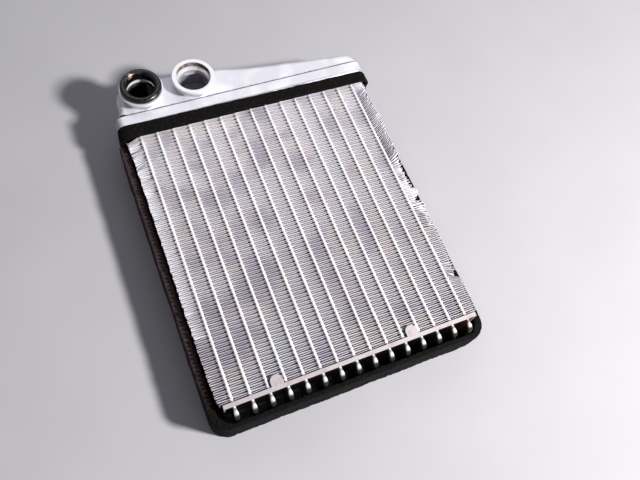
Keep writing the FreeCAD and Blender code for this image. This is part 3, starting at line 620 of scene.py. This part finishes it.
# Wears one row: its folds move to the worn edge, its foil shears, crumples and splits apart along y,
# and where it is bent the front few millimetres turn down over the next leg, which rubs them bright.
def wearFin(rings, box, marks, seed):
    left, right, front = box[0][0], box[1][0], box[1][2]
    outer = right if marks["side"] > 0 else left
    across = np.clip(1 - np.abs(rings[..., 0] - outer) / (right - left), 0, 1)
    depth = front - rings[..., 2]
    near = 1 - easeStep(depth, marks["depth"][0] * mm, marks["depth"][1] * mm)
    y = rings[..., 1].copy()
    patch = smoothNoise(rings * [0.7, 1, 0], tear["patchCell"], seed)
    edgeY, edgeX = np.array(marks["edge"]).T * mm
    rings[..., 0] += (np.interp(y, edgeY, edgeX) - outer) * across ** 1.5 * near
    teeth = smoothNoise(rings * [0, 1, 0.2], tear["toothCell"], seed + 1) - 0.4
    rings[..., 0] += marks["side"] * marks["ragged"] * mm * teeth * across ** 2 * near
    for start, end, slope in marks["sheared"]:
        rings[..., 1] += slope * across * (right - left) * stretch(y, start * mm, end * mm, 8 * mm) * near
    for start, end, amount in marks["crushed"]:
        push = amount * mm * (0.3 + 0.7 * across) * stretch(y, start * mm, end * mm) * near
        rings[..., 1] += push * smoothNoise(rings * [1, 1, 0.4], tear["crumpleCell"], seed + 2)
        dents = 1 + smoothNoise(rings * [1, 1, 0], tear["dentCell"], seed + 3)
        rings[..., 2] -= push * dents * (1 - depth / tear["dentDepth"])
    for place, gap in marks["split"]:
        away = (y - place * mm) / tear["splitReach"]
        rings[..., 1] += gap * mm * np.sign(away) * np.exp(-np.abs(away)) * across * near
    rubbed = 0 * y
    for start, end, amount in marks["bright"]:
        worn = amount * stretch(y, start * mm, end * mm) * (0.8 + 0.2 * patch) * (0.1 + 0.9 * across)
        rubbed = np.maximum(rubbed, np.clip(worn, 0, 1) * (1 - easeStep(depth, *tear["rubDepth"])))
    for start, end, least, spread in marks["bent"]:
        amount = np.clip(least + spread * patch, 0, 1) * stretch(y, start * mm, end * mm)
        amount *= 0.35 + 0.65 * across
        turned = np.clip(1 - depth / tear["foldDepth"], 0, 1)
        rings[..., 1] -= amount * marks["fold"] * mm * turned ** 1.4
        rings[..., 2] -= amount * marks["drop"] * mm * turned ** 1.8
        rubbed = np.maximum(rubbed, amount * easeStep(turned, 0, 0.3))
    # The lit open outer side loses its painted shade.
    litOpenSide = marks["openSideLit"] * easeStep(across, *tear["outerShare"])
    return rings, rubbed, litOpenSide


finNodes = sorted(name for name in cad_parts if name.startswith("fin_"))
for node in finNodes:
    seed = fin["seed"] + int(node[-2:])
    rings, foilShade = finRings(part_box(node), seed)
    rubbed = litOpenSide = 0 * foilShade
    if node in wear:
        rings, rubbed, litOpenSide = wearFin(rings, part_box(node), wear[node], seed)
    # The painted shade is lifted where the foil is rubbed, and on the lit open outer side.
    masks = {"foilShade": foilShade * (1 - tear["rubLiftsShade"] * rubbed) * (1 - litOpenSide), "rubbed": rubbed}
    piece = skinPiece("foilFin" + node[-2:], rings, sharpAngle=35, masks=masks)
    fitPiece(piece, foil, node)
print("fins ready")


collar = {"throat": 9.3 * mm, "neck": 11 * mm, "rim": 13.2 * mm, "socket": 10.3 * mm, "spigot": 1.8 * mm,
          "rimHeight": 7.3 * mm, "rimThick": 1.6 * mm, "flare": 1.3 * mm, "socketDepth": 4.2 * mm,
          "throatDepth": 6.2 * mm, "corrodedAngle": 75, "around": 112, "profile": 84, "seed": 51}
ring = {"outer": 12.3 * mm, "bore": 8.6 * mm, "height": 3.2 * mm, "skirt": 3.3 * mm, "profile": 76,
        "crustAt": (-63.8 * mm, 103.9 * mm), "crustReach": 1.9 * mm, "seed": 61}


# A closed profile of radius and height turned round the port's own axis.
def turnedRings(profile, centre):
    angle = np.linspace(0, 2 * math.pi, collar["around"], endpoint=False)[:, None]
    radius, height = profile[:, 0], profile[:, 1]
    return np.stack([centre[0] + radius * np.cos(angle), centre[1] + radius * np.sin(angle),
                     np.broadcast_to(centre[2] + height, (collar["around"], len(radius)))], axis=-1)


# The middle of a port where its collar leaves the cap: above the spigot, which is let into the cap.
def portCentre(node):
    low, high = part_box(node)
    return ((low[0] + high[0]) / 2, (low[1] + high[1]) / 2, low[2] + collar["spigot"])


# From the throat's lower edge out and up: neck, flare, rim, socket and the step down to the throat.
def collarProfile():
    rimHigh = collar["rimHeight"]
    rimLow = rimHigh - collar["rimThick"]
    corners = [(collar["throat"], -collar["spigot"], 0.2 * mm), (collar["neck"], -collar["spigot"], 0.2 * mm),
               (collar["neck"], rimLow - collar["flare"], 1.0 * mm), (collar["rim"], rimLow, 0.4 * mm),
               (collar["rim"], rimHigh, 0.5 * mm), (collar["socket"], rimHigh, 0.4 * mm),
               (collar["socket"], rimHigh - collar["socketDepth"], 0.3 * mm),
               (collar["throat"], rimHigh - collar["throatDepth"], 0.6 * mm)]
    return roundedLoop(corners, collar["profile"])


# The seal's skirt lines the socket, and its rounded ring sits on the rim.
def sealProfile():
    rimHigh = collar["rimHeight"]
    low, high = rimHigh - ring["skirt"], rimHigh + ring["height"]
    corners = [(ring["bore"], low, 0.4 * mm), (collar["socket"], low, 0.2 * mm),
               (collar["socket"], rimHigh, 0.1 * mm), (ring["outer"], rimHigh, 0.9 * mm),
               (ring["outer"], high, 1.7 * mm), (ring["bore"], high, 1.6 * mm)]
    return roundedLoop(corners, ring["profile"])


# Corrosion sits on the socket's wall on the side away from the core, just below the rim, a pinkish painted
# reflection on the outside of the neck, and painted shade in the throat, more of it in a port that has a pipe
# seal.
def collarMasks(rings, centre, scaled):
    offset = rings - np.array(centre)
    radius = np.hypot(offset[..., 0], offset[..., 1])
    height = offset[..., 2]
    socket, neck, throat, rimHigh = (collar[part] for part in ("socket", "neck", "throat", "rimHeight"))
    floor = rimHigh - collar["socketDepth"]
    inside = 1 - easeStep(radius, socket + 0.1 * mm, socket + 0.5 * mm)
    wall = easeStep(height, floor + 0.4 * mm, floor + 1.2 * mm)
    wall *= (1 - easeStep(height, rimHigh - 0.2 * mm, rimHigh)) * inside
    away = np.cos(np.arctan2(offset[..., 1], offset[..., 0]) - math.radians(collar["corrodedAngle"]))
    ragged = 0.8 + 0.2 * easeStep(smoothNoise(rings, 1.4 * mm, collar["seed"]), -0.5, 0.1)
    # A pinkish painted reflection on the outside of the neck.
    heat = 0.8 * easeStep(radius, neck - 0.3 * mm, neck) * (1 - easeStep(height, 4.2 * mm, 6 * mm))
    deep = 1 - easeStep(height, 0.4 * mm, 1.4 * mm)
    # Painted shade down the throat; scaled sets how dark it is in this port.
    boreShade = scaled * deep * (1 - easeStep(radius, throat + 0.3 * mm, throat + 0.7 * mm))
    return {"corrosion": wall * easeStep(away, 0.1, 0.4) * ragged, "heat": heat, "boreShade": boreShade}


for node in ("left_port", "right_port"):
    centre = portCentre(node)
    rings = turnedRings(collarProfile(), centre)
    masks = collarMasks(rings, centre, scaled=1.0 if node == "left_port" else 0.3)
    piece = skinPiece(node.replace("_p", "P") + "Collar", rings, joined=True, masks=masks)
    fitPiece(piece, collarMetal, node)

rings = turnedRings(sealProfile(), portCentre("left_port"))
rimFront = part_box("left_port")[1][2]
onTop = easeStep(rings[..., 2], rimFront + 0.6 * mm, rimFront + 1.2 * mm)
fromCrust = flatDistance(rings, ring["crustAt"]) / ring["crustReach"]
crust = onTop * easeStep(0.7 * smoothNoise(rings, 1.1 * mm, ring["seed"]) - fromCrust, -1.1, -0.6)
piece = skinPiece("portSealRing", rings, joined=True, masks={"crust": crust})
fitPiece(piece, rubber, "port_seal")
print("ports ready")


foamShape = {"step": 0.68 * mm, "pit": 0.42 * mm, "pitCell": 1.3 * mm, "wander": 0.4 * mm,
             "wanderCell": 9 * mm, "grain": (0.5, 0.3, 0.7), "seed": 77}
tape = {"corner": 5.9 * mm, "edge": 0.4 * mm, "innerEdge": 0.1 * mm, "section": 34, "tilt": 0.8 * mm,
        "leftDrop": 0.25 * mm, "fray": 0.5 * mm, "frayCell": 2.2 * mm}
band = {"corner": 11 * mm, "fineSteps": 4000, "edge": 0.7 * mm, "slope": 18 * mm, "rightLevel": 16 * mm,
        "foamLight": 0.85, "litDepth": (6 * mm, 14 * mm), "litSide": (74 * mm, 79 * mm),
        "litRise": (8 * mm, 45 * mm)}
foamGrain = np.array(Euler(foamShape["grain"]).to_matrix())


# The skin is pushed inwards by small pits and a slower wander, never outwards. The lattice of the pits
# is turned, so that they don't line up along a straight side.
def pitted(points, inward, seed):
    pits = np.clip(smoothNoise(points @ foamGrain, foamShape["pitCell"], seed) + 0.1, 0, 1) * foamShape["pit"]
    wander = (1 + smoothNoise(points, foamShape["wanderCell"], seed + 5)) / 2 * foamShape["wander"]
    return points + inward * (pits + wander)[..., None]


# The tape: a rounded rectangle in x and z is the path, and the section (depth from the outside, y) is
# carried round it square to the path. Its edges are frayed, and its front stretch leans along x, as it
# was stuck on.
def tapeRings():
    (left, low, back), (right, high, front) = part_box("header_foam")
    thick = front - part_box("tank_cap")[1][2]
    halfX, halfZ, radius = (right - left) / 2, (front - back) / 2, tape["corner"]
    count = int(4 * (halfX + halfZ) / foamShape["step"])
    loop = roundedLoop([(-halfX, -halfZ, radius), (halfX, -halfZ, radius), (halfX, halfZ, radius),
                        (-halfX, halfZ, radius)], count)
    tangent = np.roll(loop, -1, axis=0) - np.roll(loop, 1, axis=0)
    tangent /= np.linalg.norm(tangent, axis=1)[:, None]
    inwardPath = np.stack([-tangent[:, 1], tangent[:, 0]], axis=1)
    section = roundedLoop([(0, low, tape["edge"]), (0, high, tape["edge"]), (thick, high, tape["innerEdge"]),
                           (thick, low, tape["innerEdge"])], tape["section"])
    flat = loop[:, None, :] + inwardPath[:, None, :] * section[None, :, 0, None]
    centreZ, middle = (front + back) / 2, (low + high) / 2
    rings = np.stack([flat[..., 0] + (left + right) / 2,
                      np.broadcast_to(section[:, 1], flat.shape[:2]), flat[..., 1] + centreZ], axis=-1)
    outside = np.clip(1 - section[:, 0] / (0.6 * thick), 0, 1)
    upDown = np.clip((section[:, 1] - middle) / (high - middle), -1, 1)
    inward = np.stack([inwardPath[:, None, 0] * outside, np.zeros_like(flat[..., 0]),
                       inwardPath[:, None, 1] * outside], axis=-1)
    rings = pitted(rings, inward, foamShape["seed"])
    fray = (1 + smoothNoise(rings * [1, 0, 1], tape["frayCell"], foamShape["seed"] + 9)) / 2
    rings[..., 1] -= upDown ** 3 * fray * tape["fray"]
    lean = tape["tilt"] * rings[..., 0] / halfX * easeStep(rings[..., 2], centreZ, front - thick)
    rings[..., 1] -= np.where(lean < 0, lean * (1 + upDown) / 2 + tape["leftDrop"] * (upDown < 0), lean)
    return rings


# The edge band: the path runs down the left side, round under the tubes and up the right side, and the
# section (depth from the outside, z) is carried along it. Its front level falls towards the right, and
# painted light lies on the upper and shallow part of its left side.
def edgeBandRings():
    (left, low, back), (right, high, front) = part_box("edge_foam")
    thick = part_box("fin_01")[0][0] - left
    radius = band["corner"]
    corners = [(left, high, 0), (left, low, radius), (right, low, radius), (right, high, 0)]
    run = roundedLoop(corners, band["fineSteps"])
    start = np.argmin(np.abs(run[:, 0] - left) + np.abs(run[:, 1] - high))
    run = np.roll(run, -start, axis=0)
    run = run[:np.argmin(np.abs(run[:, 0] - right) + np.abs(run[:, 1] - high)) + 1]
    path = evenLoop(run, int((2 * (high - low) + right - left) / foamShape["step"]), closed=False)
    tangent = np.gradient(path, axis=0)
    tangent /= np.linalg.norm(tangent, axis=1)[:, None]
    inwardPath = np.stack([-tangent[:, 1], tangent[:, 0]], axis=1)
    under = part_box("tube_01")[0][1] - low
    halfX = (right - left) / 2
    corner = easeStep(np.abs(path[:, 0]), halfX - radius * 1.2, halfX - radius * 0.2)
    width = under + (thick - under) * corner
    steps = int(((front - back) * 2 + thick * 2) / (foamShape["step"] * 1.5)) // 2 * 2
    edge = band["edge"]
    corners = [(0, back, edge), (0, front, edge), (thick, front, edge), (thick, back, edge)]
    across = roundedLoop(corners, steps)
    # the ladder that closes each end needs a ring whose first point is the middle of one side
    first = np.argmin(np.abs(across[:, 0] - thick / 2) + np.abs(across[:, 1] - back))
    across = np.roll(across, -first, axis=0)
    share = across[:, 0] / thick
    flat = path[:, None, :] + inwardPath[:, None, :] * (share[None, :] * width[:, None])[..., None]
    rings = np.stack([flat[..., 0], flat[..., 1], np.broadcast_to(across[:, 1], flat.shape[:2])], axis=-1)
    centreZ = (front + back) / 2
    inward = np.zeros_like(rings)
    sideways = np.where(share < 0.5, 1.0, -1.0) * np.clip(np.abs(share - 0.5) * 4 - 1, 0, 1)
    inward[..., 0] = inwardPath[:, None, 0] * sideways
    inward[..., 1] = inwardPath[:, None, 1] * sideways
    inward[..., 2] = np.where(across[:, 1] > centreZ, -1.0, 0.0) * np.clip(
        np.abs(across[:, 1] - centreZ) / (front - centreZ) * 8 - 7, 0, 1)
    rings = pitted(rings, inward, foamShape["seed"] + 1)
    inner = right - thick
    fall = np.clip((rings[..., 0] - (inner - band["slope"])) / band["slope"], 0, 1)
    level = front + (band["rightLevel"] - front) * fall
    rings[..., 2] = back + (rings[..., 2] - back) * (level - back) / (front - back)
    # Painted light on the upper, shallow part of the left side.
    shallow = 1 - easeStep(front - rings[..., 2], *band["litDepth"])
    foamLight = band["foamLight"] * shallow * easeStep(-rings[..., 0], *band["litSide"])
    return rings, foamLight * easeStep(rings[..., 1] - low, *band["litRise"])


bandRings, bandLight = edgeBandRings()
for name, rings, joined, foamLight, node in (("headerFoamTape", tapeRings(), True, 0.0, "header_foam"),
                                        ("edgeFoamBand", bandRings, False, bandLight, "edge_foam")):
    piece = skinPiece(name, rings, joined=joined, masks={"foamLight": foamLight})
    fitPiece(piece, foam, node)
print("foam ready")


# These nodes keep their CAD shape and get a finish.
for node, material in (("tank_cap", tankMetal), ("header_plate", tankMetal), ("tank_divider", tankMetal),
                       ("end_comb", combMetal)):
    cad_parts[node].data.materials.clear()
    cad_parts[node].data.materials.append(material)


# Matte studio board, printed pale grey: its tone drifts a little so that it isn't a flat colour.
floorMaterial, tree, shader, spot = newMaterial("paleStudioBoard")
drift = addNode(tree, "TexNoise", inputs={"Vector": spot, "Scale": 1 / (60 * mm), "Detail": 3.0})
paper = addNode(tree, "Mix", colours, {
    shareInput: drift.outputs["Fac"], firstColour: "#98979C", secondColour: "#A1A0A4"})
setInputs(tree, shader, {"Base Color": paper.outputs[mixedColour], "Roughness": 0.85})
floorMesh = bpy.data.meshes.new("studioFloor")
reach = 2.0
floorMesh.from_pydata([(-reach, -reach, 0), (reach, -reach, 0), (reach, reach, 0), (-reach, reach, 0)], [],
                      [(0, 1, 2, 3)])
floor = bpy.data.objects.new("studioFloor", floorMesh)
bpy.context.scene.collection.objects.link(floor)
floor.data.materials.append(floorMaterial)

world = bpy.data.worlds.new("softStudio")
world.use_nodes = True
background = world.node_tree.nodes["Background"]
setInputs(world.node_tree, background, {"Color": "#E2E3EA", "Strength": 0.31})
bpy.context.scene.world = world
bpy.context.scene.view_settings.view_transform = "Standard"  # keeps the bare metal as white as it looks


# A rectangular soft light, turned towards the middle of the part.
def addPanel(name, place, size, power, tint):
    light = bpy.data.lights.new(name, "AREA")
    light.shape = "RECTANGLE"
    light.size, light.size_y = size
    light.energy = power
    light.color = srgb(tint)[:3]
    panel = bpy.data.objects.new(name, light)
    aim = Vector((0, 0, 0.02)) - Vector(place)
    panel.matrix_world = Matrix.Translation(place) @ aim.to_track_quat("-Z", "Y").to_matrix().to_4x4()
    bpy.context.scene.collection.objects.link(panel)


addPanel("keyPanel", (0.56, -0.52, 0.72), (0.12, 0.12), 24, "#FFFDFB")
addPanel("farPanel", (0.1, 0.8, 0.95), (0.9, 0.6), 2, "#F4F4FF")

# The camera stands where the photograph was taken from.
cameraPlace = Vector((-0.09472, -0.15823, 0.37047))
cameraRight = Vector((0.91842, -0.37265, 0.13284))
cameraUp = Vector((0.28962, 0.86205, 0.41592))
lens = bpy.data.cameras.new("photoLens")
lens.lens, lens.sensor_width = 37.33, 36
camera = bpy.data.objects.new("photoCamera", lens)
turn = Matrix((cameraRight, cameraUp, cameraRight.cross(cameraUp))).transposed()
camera.matrix_world = Matrix.Translation(cameraPlace) @ turn.to_4x4()
bpy.context.scene.collection.objects.link(camera)
bpy.context.scene.camera = camera
print("stage ready")
